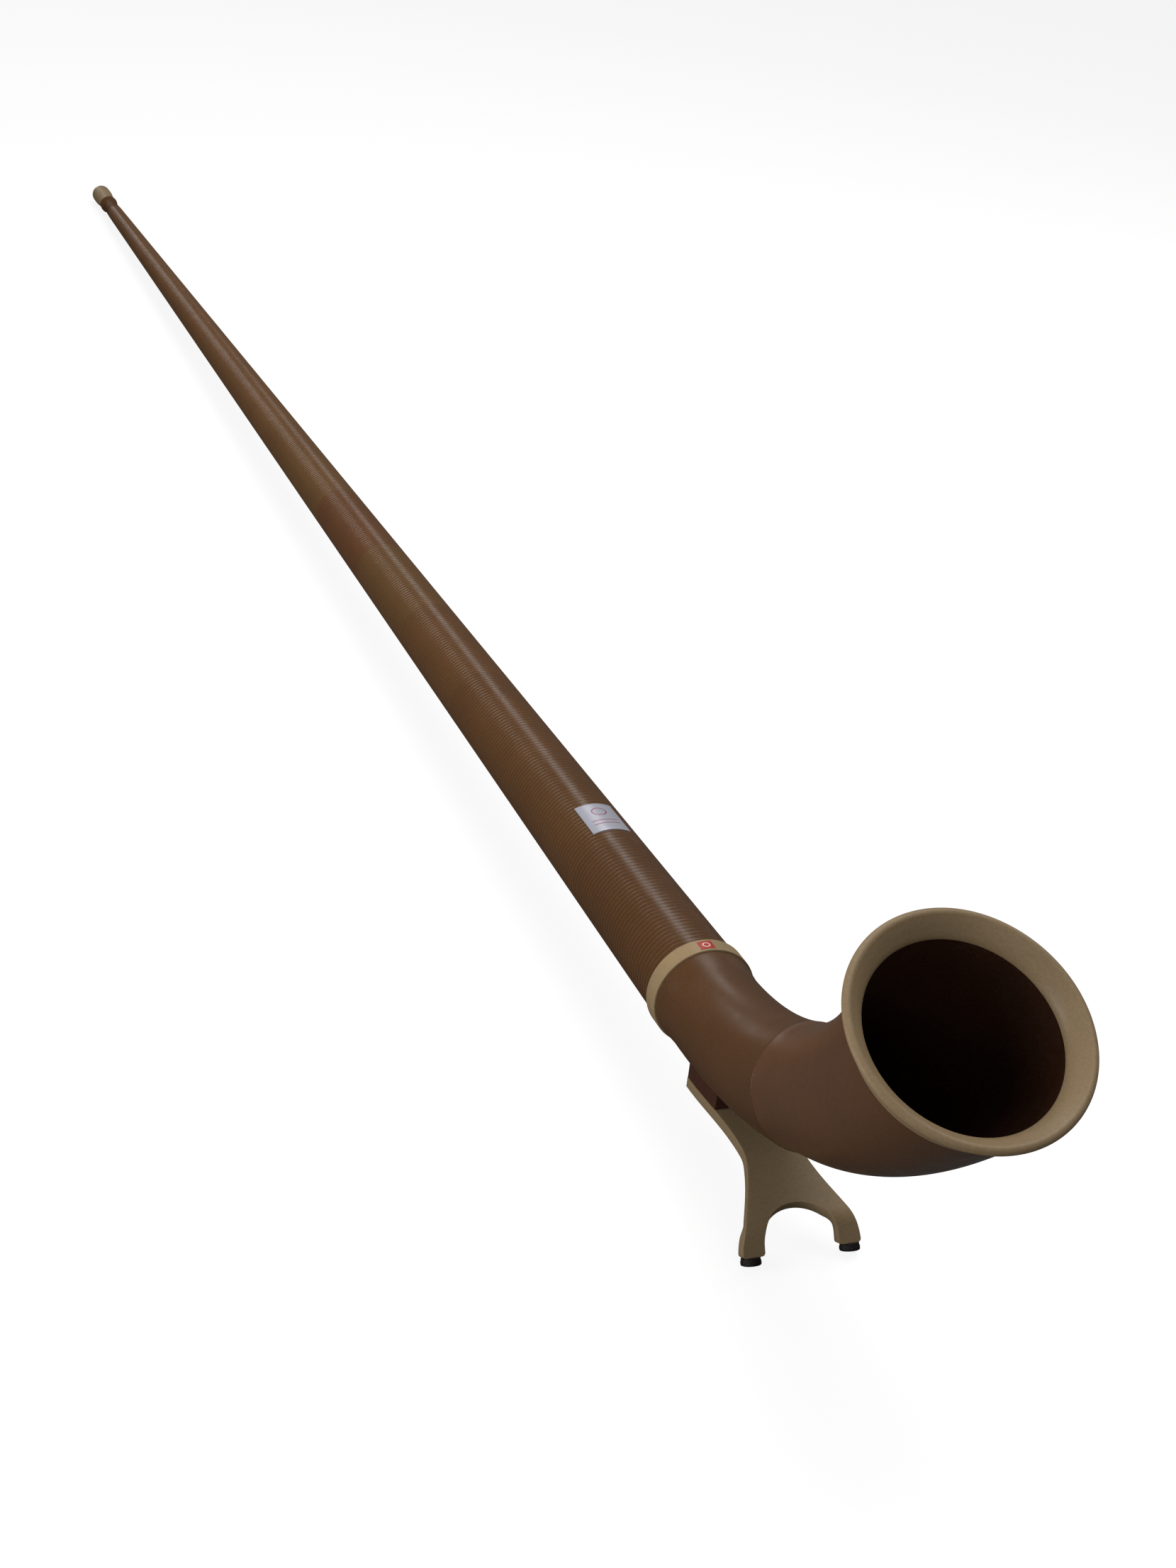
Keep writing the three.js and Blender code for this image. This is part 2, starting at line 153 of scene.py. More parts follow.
white = (1, 1, 1, 1)
ambient_strength, backdrop_strength = 0.13, 1
world = bpy.data.worlds.new("studio")
world.use_nodes = True
tree = world.node_tree
tree.nodes.clear()
ambient = wired(tree, "ShaderNodeBackground", {"Color": white, "Strength": ambient_strength})
backdrop = wired(tree, "ShaderNodeBackground", {"Color": white, "Strength": backdrop_strength})
sky = wired(tree, "ShaderNodeMixShader", {
    0: seen_directly(tree), 1: ambient.outputs[0], 2: backdrop.outputs[0]})
wired(tree, "ShaderNodeOutputWorld", {0: sky.outputs[0]})
bpy.context.scene.world = world

floor_half = 30
floor_glow = 0.87
floor_tone, floor_tone_seen = 0.08, 0.2
floor_corners = [(-floor_half, -floor_half), (floor_half, -floor_half),
                 (floor_half, floor_half), (-floor_half, floor_half)]
floor_mesh = bpy.data.meshes.new("floor")
floor_mesh.from_pydata([(x, y, 0) for x, y in floor_corners], [], [(0, 1, 2, 3)])
floor = bpy.data.objects.new("floor", floor_mesh)
bpy.context.scene.collection.objects.link(floor)

floor_paint, tree = bare_material("floor_paint")
seen = seen_directly(tree)
glow = wired(tree, "ShaderNodeEmission", {"Strength": calc(tree, "MULTIPLY", seen, floor_glow)})
matt_tone = calc(tree, "MULTIPLY_ADD", seen, floor_tone_seen - floor_tone, floor_tone)
matt = wired(tree, "ShaderNodeBsdfDiffuse", {"Color": matt_tone})
both = wired(tree, "ShaderNodeAddShader", {0: matt.outputs[0], 1: glow.outputs[0]})
wired(tree, "ShaderNodeOutputMaterial", {"Surface": both.outputs[0]})
floor_mesh.materials.append(floor_paint)


# Ringed tube
# Fourteen equal cones moulded in satin brown plastic, each with 35 rounded rings, plugged one
# into the next. Their browns differ a little, the ninth's most, and are painted lighter towards
# the mouth as painted light; their grooves are painted darker, as dust and painted shade.
# The tube pulls apart after the eighth.
section_count = 14
section_length = 0.21
tube_length = section_count * section_length
mouth_radius, bell_end_radius = 0.014, 0.0465
bore_mouth_radius, bore_bell_radius = 0.008, 0.043
lap_share = 0.6
glued_lap = 0.015
upper_lap, lower_lap = 0.045, 0.034
upper_plug_after = 8
running_gap = 0.0003
glued_gap = 0.00008
rings_per_section = 35
steps_per_ring = 6
ring_height = 0.0005
ring_roundness = 2.2

lead = 0.04
bend_radius = 0.4735
bend_turn = math.radians(58.6)
bell_end = 0.0085
bell_mouth = lead + bend_radius * bend_turn + bell_end


def centre_line(distance):
    """The line that an alphorn is round about, at a distance from the collar: straight through
    the tube to the lead's end, an arc of the bend's radius, then straight on at the full turn.
    Gives x, z and the heading above the tube's own axis."""
    heading = np.clip((distance - lead) / bend_radius, 0, bend_turn)
    beyond = np.clip(distance - lead - bend_radius * bend_turn, 0, None)
    x = np.minimum(distance, lead) + bend_radius * np.sin(heading) + beyond * np.cos(heading)
    z = bend_radius * (1 - np.cos(heading)) + beyond * np.sin(heading)
    return x, z, heading


def about_line(distance, radius, turn):
    """Points at a radius from the centre line, turned round it from the top."""
    x, z, heading = centre_line(distance)
    rise = radius * np.cos(turn)
    return in_frame(x - rise * np.sin(heading), radius * np.sin(turn), z + rise * np.cos(heading))


def tube_radius(distance):
    """The cone's outer radius, in a straight line from the mouth to the collar."""
    return bell_end_radius + (bell_end_radius - mouth_radius) * distance / tube_length


def bore_radius(distance):
    """The bore's radius, in a straight line from the mouth to the collar."""
    return bore_bell_radius + (bore_bell_radius - bore_mouth_radius) * distance / tube_length


def lap_radius(distance):
    """Where a spigot meets its socket, at a fixed share of the way through the wall."""
    return bore_radius(distance) + lap_share * (tube_radius(distance) - bore_radius(distance))


def ring_crest(phase):
    """A ring's height above its groove, 0 to 1: full in the middle, falling as a power of the
    distance from it, so that rings are round on top and meet in a narrow groove."""
    return 1 - np.abs(2 * (phase % 1) - 1) ** ring_roundness


def placed(piece, body, stands_for=()):
    """Puts a finished piece in the scene, on the body that carries it."""
    bpy.context.scene.collection.objects.link(piece)
    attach(piece, body)
    if stands_for:
        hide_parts(*stands_for)
    return piece


def grid_corners(rows, columns, closed):
    """The row and column of the four corners of each face of a grid. They run past the last row
    or column where the grid is closed on itself."""
    row = np.arange(rows if closed[0] else rows - 1)[:, None]
    column = np.arange(columns if closed[1] else columns - 1)[None, :]
    return [(row, column), (row + 1, column), (row + 1, column + 1), (row, column + 1)]


def grid_faces(rows, columns, closed):
    """The faces of a grid, as the numbers of their corners when points are counted by rows."""
    corners = grid_corners(rows, columns, closed)
    return np.stack([(r % rows) * columns + c % columns for r, c in corners], -1).reshape(-1, 4)


def grid_piece(name, points, body, stands_for=(), closed=(True, True), bands=None):
    """A grid of points made a mesh of four-sided faces, joined to itself where it is closed.
    It gets a UV map that follows the grid, and a value at each point for each named band."""
    rows, columns = points.shape[:2]
    index = grid_faces(rows, columns, closed)
    mesh = bpy.data.meshes.new(name)
    mesh.vertices.add(rows * columns)
    mesh.vertices.foreach_set("co", points.reshape(-1).astype(np.float32))
    mesh.loops.add(index.size)
    mesh.loops.foreach_set("vertex_index", index.reshape(-1).astype(np.int32))
    mesh.polygons.add(len(index))
    mesh.polygons.foreach_set("loop_start", np.arange(0, index.size, 4, dtype=np.int32))
    mesh.update(calc_edges=True)
    corners = grid_corners(rows, columns, closed)
    uv = np.stack([np.stack(np.broadcast_arrays(c / columns, r / rows), -1) for r, c in corners], -2)
    mesh.uv_layers.new(name="surface").data.foreach_set("uv", uv.reshape(-1).astype(np.float32))
    for band, values in (bands or {}).items():
        spread = np.broadcast_to(values, (rows, columns)).reshape(-1)
        mesh.attributes.new(band, "FLOAT", "POINT").data.foreach_set("value", spread.astype(np.float32))
    mesh.shade_smooth()
    mesh.set_sharp_from_angle(angle=math.radians(40))
    return placed(bpy.data.objects.new(name, mesh), body, stands_for)


def turned_piece(name, profile, body, stands_for, faces, bands=None):
    """A closed profile of (distance, radius) points, carried round the centre line."""
    distance, radius = np.array(profile, float).T
    turn = np.linspace(0, 2 * np.pi, faces, endpoint=False)
    points = about_line(distance[:, None], radius[:, None], turn[None, :])
    return grid_piece(name, points, body, stands_for, bands=bands)


def lap_after(section):
    """How far a section's spigot reaches into the next: a plug's lap where it pulls apart."""
    return {upper_plug_after: upper_lap, section_count: lower_lap}.get(section, glued_lap)


def gap_after(section):
    """The open seam after a section, wider where it pulls apart than where it is glued."""
    return running_gap if section in (section_count, upper_plug_after) else glued_gap


def ringed_profile(section):
    """The ringed outside from mouth end to bell end, then the spigot, the bore and the socket.
    Also gives each point's depth in its groove, 0 to 1."""
    start = (section - 1) * section_length - tube_length
    end = start + section_length - gap_after(section)
    phase = np.linspace(0, rings_per_section, rings_per_section * steps_per_ring + 1)
    outside = np.linspace(start, end, phase.size)
    crest = ring_crest(phase)
    rings = np.stack([outside, tube_radius(outside) + ring_height * (crest - 0.5)], -1)
    spigot = lap_radius(start + section_length)
    spigot_end = end + lap_after(section)
    socket = lap_radius(start) + running_gap
    socket_end = start + lap_after(section - 1) + running_gap
    inside = [
        (end, spigot), (spigot_end, spigot), (spigot_end, bore_radius(spigot_end)),
        (socket_end, bore_radius(socket_end)), (socket_end, socket), (start, socket),
    ]
    return np.concatenate([rings, inside]), np.concatenate([1 - crest, np.zeros(len(inside))])


def node_group(name, inputs, outputs):
    """An empty shader group with named inputs and outputs."""
    group = bpy.data.node_groups.new(name, "ShaderNodeTree")
    for direction, sockets in (("INPUT", inputs), ("OUTPUT", outputs)):
        for socket, kind in sockets.items():
            group.interface.new_socket(socket, in_out=direction, socket_type="NodeSocket" + kind)
    return group, wired(group, "NodeGroupInput"), wired(group, "NodeGroupOutput")


def noise(tree, place, scale, detail, spread, low=0.0, high=1.0, **settings):
    """A noise's middle spread stretched to run from low to high."""
    inputs = {"Vector": place, "Scale": scale, "Detail": detail, **settings}
    pattern = wired(tree, "ShaderNodeTexNoise", inputs)
    return wired(tree, "ShaderNodeMapRange", {
        "Value": pattern.outputs["Fac"], "From Min": 0.5 - spread, "From Max": 0.5 + spread,
        "To Min": low, "To Max": high}).outputs[0]


def mixed(tree, one, other, share):
    """A colour at a share of the way from one colour to another."""
    return wired(tree, "ShaderNodeMix", {
        "Factor": share, 6: one, 7: other}, data_type="RGBA").outputs[2]


def shaded(tree, color, shade):
    """A colour multiplied by a shade."""
    return wired(tree, "ShaderNodeMix", {
        "Factor": 1.0, 6: color, 7: shade}, data_type="RGBA", blend_type="MULTIPLY").outputs[2]


def finish_surface(tree, color, roughness, height, strength, distance, **others):
    """The shader of a material, with its bumps at a strength and a distance."""
    bump = wired(tree, "ShaderNodeBump", {"Height": height, "Strength": strength, "Distance": distance})
    shader = wired(tree, "ShaderNodeBsdfPrincipled", {
        "Base Color": color, "Roughness": roughness, "Normal": bump.outputs[0], **others})
    wired(tree, "ShaderNodeOutputMaterial", {"Surface": shader.outputs[0]})


dust_color = (0.3, 0.27, 0.22, 1)
dust_strength = 0.05
peel_height = 0.008


def plastic_surface_group():
    """Moulded plastic: clouds of slightly different colour, a finer mottle, faint dust, uneven
    gloss with dull smears, and a height of slow waves from cooling and a fine orange peel."""
    group, given, result = node_group(
        "plastic_surface",
        {"Color": "Color", "Other Color": "Color", "Cloud Size": "Float", "Roughness": "Float",
         "Waviness": "Float"},
        {"Color": "Color", "Roughness": "Float", "Height": "Float"})
    place = wired(group, "ShaderNodeTexCoord").outputs["Object"]
    per_cloud = calc(group, "DIVIDE", 1.0, given.outputs["Cloud Size"])
    cloud = noise(group, place, scale=per_cloud, detail=4, spread=0.18)
    tint = mixed(group, given.outputs["Color"], given.outputs["Other Color"], cloud)
    mottle = noise(group, place, scale=420, detail=3, spread=0.2, low=0.92, high=1.08)
    specks = noise(group, place, scale=1300, detail=2, spread=0.09, low=-2.6, high=1.4)
    dust = calc(group, "MULTIPLY", calc(group, "ADD", specks, 0, clamped=True), dust_strength)
    color = mixed(group, shaded(group, tint, mottle), dust_color, dust)
    group.links.new(color, result.inputs["Color"])
    smears = noise(group, place, scale=55, detail=5, spread=0.2, low=-0.05, high=0.07, Distortion=0.8)
    group.links.new(calc(group, "ADD", given.outputs["Roughness"], smears), result.inputs["Roughness"])
    waves = wired(group, "ShaderNodeTexNoise", {"Vector": place, "Scale": 22, "Detail": 0})
    wave = calc(group, "MULTIPLY", waves.outputs["Fac"], given.outputs["Waviness"])
    peel = wired(group, "ShaderNodeTexNoise", {"Vector": place, "Scale": 900, "Detail": 2})
    height = calc(group, "MULTIPLY_ADD", peel.outputs["Fac"], peel_height, wave)
    group.links.new(height, result.inputs["Height"])
    return group


plastic_surface = plastic_surface_group()


def plastic(name, color, other_color, cloud_size, roughness, waviness, gloss=0.15, groove_dust_and_shade=0):
    """A moulded plastic of two near colours. A mesh with a groove band gets its grooves painted darker,
    as dust and painted shade.
    """
    made, tree = bare_material(name)
    surface = wired(tree, "ShaderNodeGroup", {
        "Color": (*color, 1), "Other Color": (*other_color, 1), "Cloud Size": cloud_size,
        "Roughness": roughness, "Waviness": waviness}, node_tree=plastic_surface)
    paint = surface.outputs["Color"]
    # Dust and painted shade: the grooves are darkened by up to this share.
    if groove_dust_and_shade:
        band = wired(tree, "ShaderNodeAttribute", attribute_name="groove")
        shade = wired(tree, "ShaderNodeMapRange", {
            "Value": band.outputs["Fac"], "From Min": 0.25, "To Min": 1, "To Max": 1 - groove_dust_and_shade})
        paint = shaded(tree, paint, shade.outputs[0])
    finish_surface(tree, paint, surface.outputs["Roughness"], surface.outputs["Height"],
                   strength=0.5, distance=0.001, **{"Specular IOR Level": gloss})
    return made


def written(red, green, blue):
    """A colour read off a screen, 0 to 255, as the linear light that a shader takes, by the
    usual curve of screens: a short straight start, then a power."""
    share = np.array((red, green, blue)) / 255
    return np.where(share <= 0.04045, share / 12.92, ((share + 0.055) / 1.055) ** 2.4)


olive_brown = written(87, 60, 31)
orange_brown = written(85, 53, 28)
orange_shares = (0.4, 0.5, 0.4, 0.5, 0.4, 0.4, 0.3, 0.1, 1.0, 0.1, 0.5, 0.6, 0.5, 0.6)
# Painted light: the browns are lifted towards the mouth, where the lamps light the tube less.
painted_light_at_mouth, painted_light_at_collar = 1.6, 1.0
cloud_lightness = 1.1

for section in range(1, section_count + 1):
    profile, groove = ringed_profile(section)
    piece = turned_piece(
        f"ringed_section_{section:02d}", profile,
        "upper_tube" if section <= upper_plug_after else "lower_tube",
        [f"tube_section_{section:02d}"], faces=96, bands={"groove": groove[:, None]})
    orange_share = orange_shares[section - 1]
    near_collar = (section / section_count) ** 2
    # Painted light: each section's brown is lifted more the nearer it lies to the mouth.
    painted_light = painted_light_at_mouth + (painted_light_at_collar - painted_light_at_mouth) * near_collar
    brown = (olive_brown * (1 - orange_share) + orange_brown * orange_share) * painted_light
    piece.data.materials.append(plastic(
        f"ringed_brown_{section:02d}", brown, brown * cloud_lightness, cloud_size=0.06,
        roughness=0.25, waviness=0.02, gloss=0.25, groove_dust_and_shade=0.45))


# Label plate
# A thin silver plate pressed on the tube over its rings, near the collar. It is printed in red
# with a plain ring and two plain rules.
label_start, label_end = -0.287, -0.230
label_half_turn = math.radians(26)
label_height = 0.0013
plate_edge = 0.0005
plate_edge_rises = (0.6, 0.9)
plate_edge_share = 0.3


def stepped(start, end, edge, count):
    """Places from start to end, and the share of full height at each: none at the two ends,
    most of it straight above them, and all of it an edge's width further in."""
    corner = edge * plate_edge_share
    middle = np.linspace(start + edge, end - edge, count)
    places = np.concatenate([[start, start, start + corner], middle, [end - corner, end, end]])
    return places, np.concatenate([[0, *plate_edge_rises], np.ones(count), [*plate_edge_rises[::-1], 0]])


def curved_plate(name, body, start, end, half_turn, middle, base, height, counts):
    """A thin plate wrapped round the horn: its outside stands at one height above the base and
    drops to it at rounded edges on all four sides. Its back is the base itself."""
    distance, rise = stepped(start, end, plate_edge, counts[0])
    turn, turn_rise = stepped(-half_turn, half_turn, plate_edge / base(start), counts[1])
    top = base(distance)[:, None] + height * np.minimum(rise[:, None], turn_rise[None, :])
    back = np.repeat(base(distance)[:, None], turn.size, 1)
    radius = np.concatenate([top, back[::-1]])
    distance = np.concatenate([distance, distance[::-1]])
    points = about_line(distance[:, None], radius, middle + turn[None, :])
    return grid_piece(name, points, body, closed=(True, False), bands={
        "plate_along": (distance - (start + end) / 2)[:, None],
        "plate_across": (turn * base(start))[None, :]})


def printed(name, ground, ink, ring, rules, line, roughness, metallic):
    """A printed plate: a ring given by its place along and its radius, and straight rules
    across, each by its place along and half its length, all of one line's width. Its ground is
    finely brushed, and its ink a little worn."""
    made, tree = bare_material(name)
    down = wired(tree, "ShaderNodeAttribute", attribute_name="plate_along").outputs["Fac"]
    over = wired(tree, "ShaderNodeAttribute", attribute_name="plate_across").outputs["Fac"]
    centre, radius = ring
    off = calc(tree, "SUBTRACT", down, centre)
    square = calc(tree, "MULTIPLY_ADD", off, off, calc(tree, "MULTIPLY", over, over))
    beside = calc(tree, "ABSOLUTE", calc(tree, "SUBTRACT", calc(tree, "SQRT", square), radius))
    inked = calc(tree, "LESS_THAN", beside, line / 2)
    for rule, half_length in rules:
        off = calc(tree, "ABSOLUTE", calc(tree, "SUBTRACT", down, rule))
        near = calc(tree, "LESS_THAN", off, line / 2)
        inside = calc(tree, "LESS_THAN", calc(tree, "ABSOLUTE", over), half_length)
        inked = calc(tree, "MAXIMUM", inked, calc(tree, "MULTIPLY", near, inside))
    place = wired(tree, "ShaderNodeTexCoord").outputs["Object"]
    worn = noise(tree, place, scale=700, detail=3, spread=0.25, low=0.7)
    brushed = wired(tree, "ShaderNodeMapping", {"Vector": place, "Scale": (3000, 60, 3000)}).outputs[0]
    shade = noise(tree, brushed, scale=1.0, detail=3, spread=0.2, low=0.93, high=1.07)
    paint = mixed(tree, shaded(tree, (*ground, 1), shade), (*ink, 1), calc(tree, "MULTIPLY", inked, worn))
    finish_surface(tree, paint, calc(tree, "MULTIPLY", shade, roughness), shade, strength=0.3,
                   distance=0.0001, **{"Metallic": metallic, "Specular IOR Level": 0.4})
    return made


label = curved_plate(
    "label_plate", "lower_tube", label_start, label_end, label_half_turn, middle=0.0,
    base=tube_radius, height=label_height, counts=(24, 32))
label.data.materials.append(printed(
    "label_print", ground=written(174, 174, 185), ink=written(144, 46, 70), ring=(-0.0105, 0.0072),
    rules=((0.0075, 0.013), (0.0145, 0.013)), line=0.0014, roughness=0.34, metallic=0.25))


# Smooth shells
# The mouth receiver, the bend and the bell are smooth mouldings in browns close to the tube's.
# The bend has a low shoulder behind the collar, and is glued to the bell at a lap whose seam
# shows. The receiver is glued on the first tube section.
shell_faces = 160
throat_radius, flare_radius, flare_power = 0.0459, 0.09, 1.94
lip_swell, lip_swell_power = 0.0028, 14
bend_seat = 0.047
shoulder_swell, shoulder_end = 0.002, 0.05
shoulder_start = collar_length + running_gap
bell_wall = 0.004
bend_length = 0.242
seam_waist, seam_waist_length, seam_dip = 0.0018, 0.022, 0.0003
seam_round = 0.0004
rim_length = 0.0235
rim_seat_length = 0.006


def flare(distance):
    """The bore's line: the throat's radius, plus a power of the share travelled."""
    share = np.clip(distance / bell_mouth, 0, None)
    return throat_radius + (flare_radius - throat_radius) * share ** flare_power


def smooth_share(share):
    """A share from 0 to 1, level at both ends."""
    return np.clip(share, 0, 1) ** 2 * (3 - 2 * np.clip(share, 0, 1))


def outside(distance):
    """The bend and bell's outer radius: the flare, a shoulder that fades, a small step down and
    a slight waist just past the seam, and a lip that swells as a high power of the share
    travelled."""
    shoulder = 1 - smooth_share((distance - shoulder_start) / (shoulder_end - shoulder_start))
    past_seam = np.clip(distance - bend_length, 0, None) / seam_waist_length
    sunk = seam_waist * past_seam * np.exp(1 - past_seam) + seam_dip
    sunk = np.where(distance > bend_length, sunk, 0)
    lip_share = np.clip(distance / bell_mouth, 0, None) ** lip_swell_power
    return flare(distance) + shoulder_swell * shoulder - sunk + lip_swell * lip_share


def outside_line(start, end, count):
    """Profile points along the outside."""
    distance = np.linspace(start, end, count)
    return list(zip(distance, outside(distance)))


def inside_line(start, end, count):
    """Profile points along the inside, a wall's thickness within the flare."""
    distance = np.linspace(start, end, count)
    return list(zip(distance, flare(distance) - bell_wall))


socket_radius = lap_radius(0) + running_gap
socket_end = lower_lap + running_gap
lap_out = flare(bend_length) - bell_wall / 2
lap_end = bend_length + glued_lap
bend = turned_piece("smooth_bend", [
    (0, bend_seat), (shoulder_start, bend_seat), (shoulder_start, outside(shoulder_start) - seam_round),
    *outside_line(shoulder_start + seam_round, bend_length - seam_round, count=90),
    (bend_length, outside(bend_length) - seam_round), (bend_length, lap_out), (lap_end, lap_out),
    *inside_line(lap_end, socket_end, count=50), (socket_end, socket_radius), (0, socket_radius),
], "bell_assembly", ["bend"], shell_faces)
bend_brown, bend_brown_warm = written(81, 53, 29), written(86, 56, 31)
bend.data.materials.append(plastic(
    "bend_brown", bend_brown, bend_brown_warm, cloud_size=0.08, roughness=0.33, waviness=0.6, gloss=0.28))

rim_rear = bell_mouth - rim_length
rim_seat_end = rim_rear + rim_seat_length
rim_seat = outside(rim_rear) - bell_wall / 2
bell_start = bend_length + glued_gap
bell_outside = [
    (bell_start, outside(bell_start) - seam_round),
    *outside_line(bell_start + seam_round, rim_rear, count=90),
    (rim_rear, rim_seat), (rim_seat_end, rim_seat),
]
bell_inside = [
    *inside_line(rim_seat_end, lap_end + running_gap, count=90),
    (lap_end + running_gap, lap_out + running_gap), (bell_start, lap_out + running_gap),
]
bell = turned_piece(
    "flared_bell", bell_outside + bell_inside, "bell_assembly", ["bell"], shell_faces)
bell_brown, bell_brown_warm = written(87, 58, 36), written(91, 59, 35)
bell.data.materials.append(plastic(
    "bell_brown", bell_brown, bell_brown_warm, cloud_size=0.07, roughness=0.34, waviness=0.15, gloss=0.5))
# Painted shade: the bell's inside is the same plastic as its outside, painted much darker.
inside_shaded_brown, inside_shaded_dark = written(52, 28, 15), written(44, 23, 12)
bell.data.materials.append(plastic(
    "bell_inside", inside_shaded_brown, inside_shaded_dark, cloud_size=0.05, roughness=0.24, waviness=0.1, gloss=0.8))
inner_rows = np.concatenate([np.zeros(len(bell_outside)), np.ones(len(bell_inside))])
bell.data.polygons.foreach_set("material_index", np.repeat(inner_rows, shell_faces).astype(np.int32))

receiver_length = 0.072
receiver_neck, receiver_flare = 0.0128, 0.0162
receiver_flare_length, receiver_lip = 0.014, 0.003
shank_length, shank_radius, shank_taper, backbore_radius = 0.032, 0.0064, 0.0006, 0.0046
receiver_start = -tube_length - receiver_length


def eased(start, end, count):
    """Profile points from one (distance, radius) to another, level at both ends."""
    share = np.linspace(0, 1, count)
    radius = start[1] + (end[1] - start[1]) * smooth_share(share)
    return list(zip(start[0] + (end[0] - start[0]) * share, radius))


flare_end = receiver_start + 2 * receiver_lip
neck_start = flare_end + receiver_flare_length
receiver_end = -tube_length - glued_gap
receiver_spigot_end = -tube_length + glued_lap - running_gap
receiver = turned_piece("receiver_sleeve", [
    (receiver_start, receiver_flare - receiver_lip / 2),
    (receiver_start + receiver_lip / 3, receiver_flare - receiver_lip / 6),
    (receiver_start + receiver_lip, receiver_flare),
    *eased((flare_end, receiver_flare), (neck_start, receiver_neck), count=12),
    *eased((neck_start + receiver_lip, receiver_neck), (receiver_end, mouth_radius), count=16),
    (receiver_end, lap_radius(-tube_length)),
    (receiver_spigot_end, lap_radius(-tube_length)),
    (receiver_spigot_end, bore_mouth_radius),
    (receiver_start + shank_length + running_gap, backbore_radius),
    (receiver_start + shank_length + running_gap, shank_radius + running_gap - shank_taper),
    (receiver_start, shank_radius + running_gap),
], "upper_tube", ["mouth_receiver"], faces=72)
receiver_brown, receiver_brown_warm = written(90, 59, 33), written(94, 61, 33)
receiver.data.materials.append(plastic(
    "receiver_brown", receiver_brown, receiver_brown_warm, cloud_size=0.03, roughness=0.5,
    waviness=0.1, gloss=0.06))


# Pale trim
# The mouthpiece, the collar and the bell's rim are moulded in beige plastic with a satin finish,
# the rim's a little darker. The mouthpiece is loose in the receiver, and the other two are
# glued on.
pale, pale_warm = written(148, 127, 96), written(153, 130, 96)
mouthpiece_reach = 0.084
mouthpiece_radius, stem_radius = 0.0174, 0.014
widest_share = 0.3
cup_radius, cup_depth, throat_bore = 0.009, 0.017, 0.003
lip = receiver_start - mouthpiece_reach
stem_end = receiver_start - running_gap
lip_round = (mouthpiece_radius - cup_radius) / 2
cup_floor = lip + cup_depth
swell_start = lip + widest_share * mouthpiece_reach


def arc_points(centre, radius, start, end, count):
    """Profile points on a circle about a (distance, radius) centre. Its turn is counted from
    straight outwards, and towards the bell."""
    turn = np.linspace(start, end, count)
    return list(zip(centre[0] + radius * np.sin(turn), centre[1] + radius * np.cos(turn)))


cup_turn = np.linspace(0, np.pi / 2, num=14)
cup_arc = list(zip(cup_floor - (cup_floor - lip - lip_round) * np.sin(cup_turn),
                   throat_bore + (cup_radius - throat_bore) * (1 - (1 - np.sin(cup_turn)) ** 2)))
mouthpiece = turned_piece("turned_mouthpiece", [
    *arc_points((lip + lip_round, mouthpiece_radius - lip_round), lip_round, -np.pi, 0, count=16),
    *eased((swell_start, mouthpiece_radius), (stem_end, stem_radius), count=26),
    (stem_end, shank_radius), (receiver_start + shank_length, shank_radius - shank_taper),
    (receiver_start + shank_length, backbore_radius), (cup_floor + cup_depth / 2, throat_bore),
    *cup_arc,
], "mouthpiece", ["mouthpiece"], faces=96)
mouthpiece.data.materials.append(plastic(
    "mouthpiece_beige", pale, pale_warm, cloud_size=0.02, roughness=0.4, waviness=0.1))

collar_radius, collar_edge = 0.0499, 0.001
collar_seat = bend_seat + running_gap / 3
edge_radius = collar_radius - collar_edge
collar_band = turned_piece("collar_band", [
    *arc_points((collar_edge, edge_radius), collar_edge, -np.pi / 2, 0, count=7),
    *arc_points((collar_length - collar_edge, edge_radius), collar_edge, 0, np.pi / 2, count=7),
    (collar_length, collar_seat), (0, collar_seat),
], "bell_assembly", ["coupling_ring"], shell_faces)
collar_band.data.materials.append(plastic(
    "collar_beige", pale, pale_warm, cloud_size=0.05, roughness=0.38, waviness=0.1))

rim_radius, rim_throat, rim_skirt, rim_power = 0.1, 0.08, 0.003, 1.6
bead_radius, bead_turn = 0.0042, math.radians(135)
bead_distance = bell_mouth - bead_radius
bead_arc = arc_points((bead_distance, rim_radius - bead_radius), bead_radius, 0, bead_turn, count=22)


def rim_flare(start, end, count):
    """Profile points of the rim's flare: its radius grows as a power of the way travelled."""
    share = np.linspace(0, 1, count)
    return list(zip(start[0] + (end[0] - start[0]) * share,
                    start[1] + (end[1] - start[1]) * share ** rim_power))


rim_start = rim_rear + glued_gap
rim_seat_gap = rim_seat_end + running_gap
rim = turned_piece("bell_mouth_rim", [
    *rim_flare((rim_start, rim_seat + rim_skirt), (bead_distance, rim_radius), count=20)[:-1],
    *bead_arc,
    *rim_flare((rim_seat_gap, rim_throat), bead_arc[-1], count=24)[-2::-1],
    (rim_seat_gap, rim_seat + running_gap), (rim_start, rim_seat + running_gap),
], "bell_assembly", ["bell_rim"], faces=200)
rim_pale, rim_pale_warm = written(136, 116, 88), written(141, 119, 89)
rim.data.materials.append(plastic(
    "rim_beige", rim_pale, rim_pale_warm, cloud_size=0.06, roughness=0.38, waviness=0.25))


# Emblem plate
# A small red plate stuck on top of the collar and wrapped to its curve. It is printed with a
# plain ring in off-white.
emblem_start, emblem_end = 0.0042, 0.0168
emblem_half_width, emblem_height = 0.0068, 0.0005
emblem_turn = math.radians(-1)


def collar_outside(distance):
    """The collar's outer radius, the same all along it."""
    return np.full_like(distance, collar_radius)


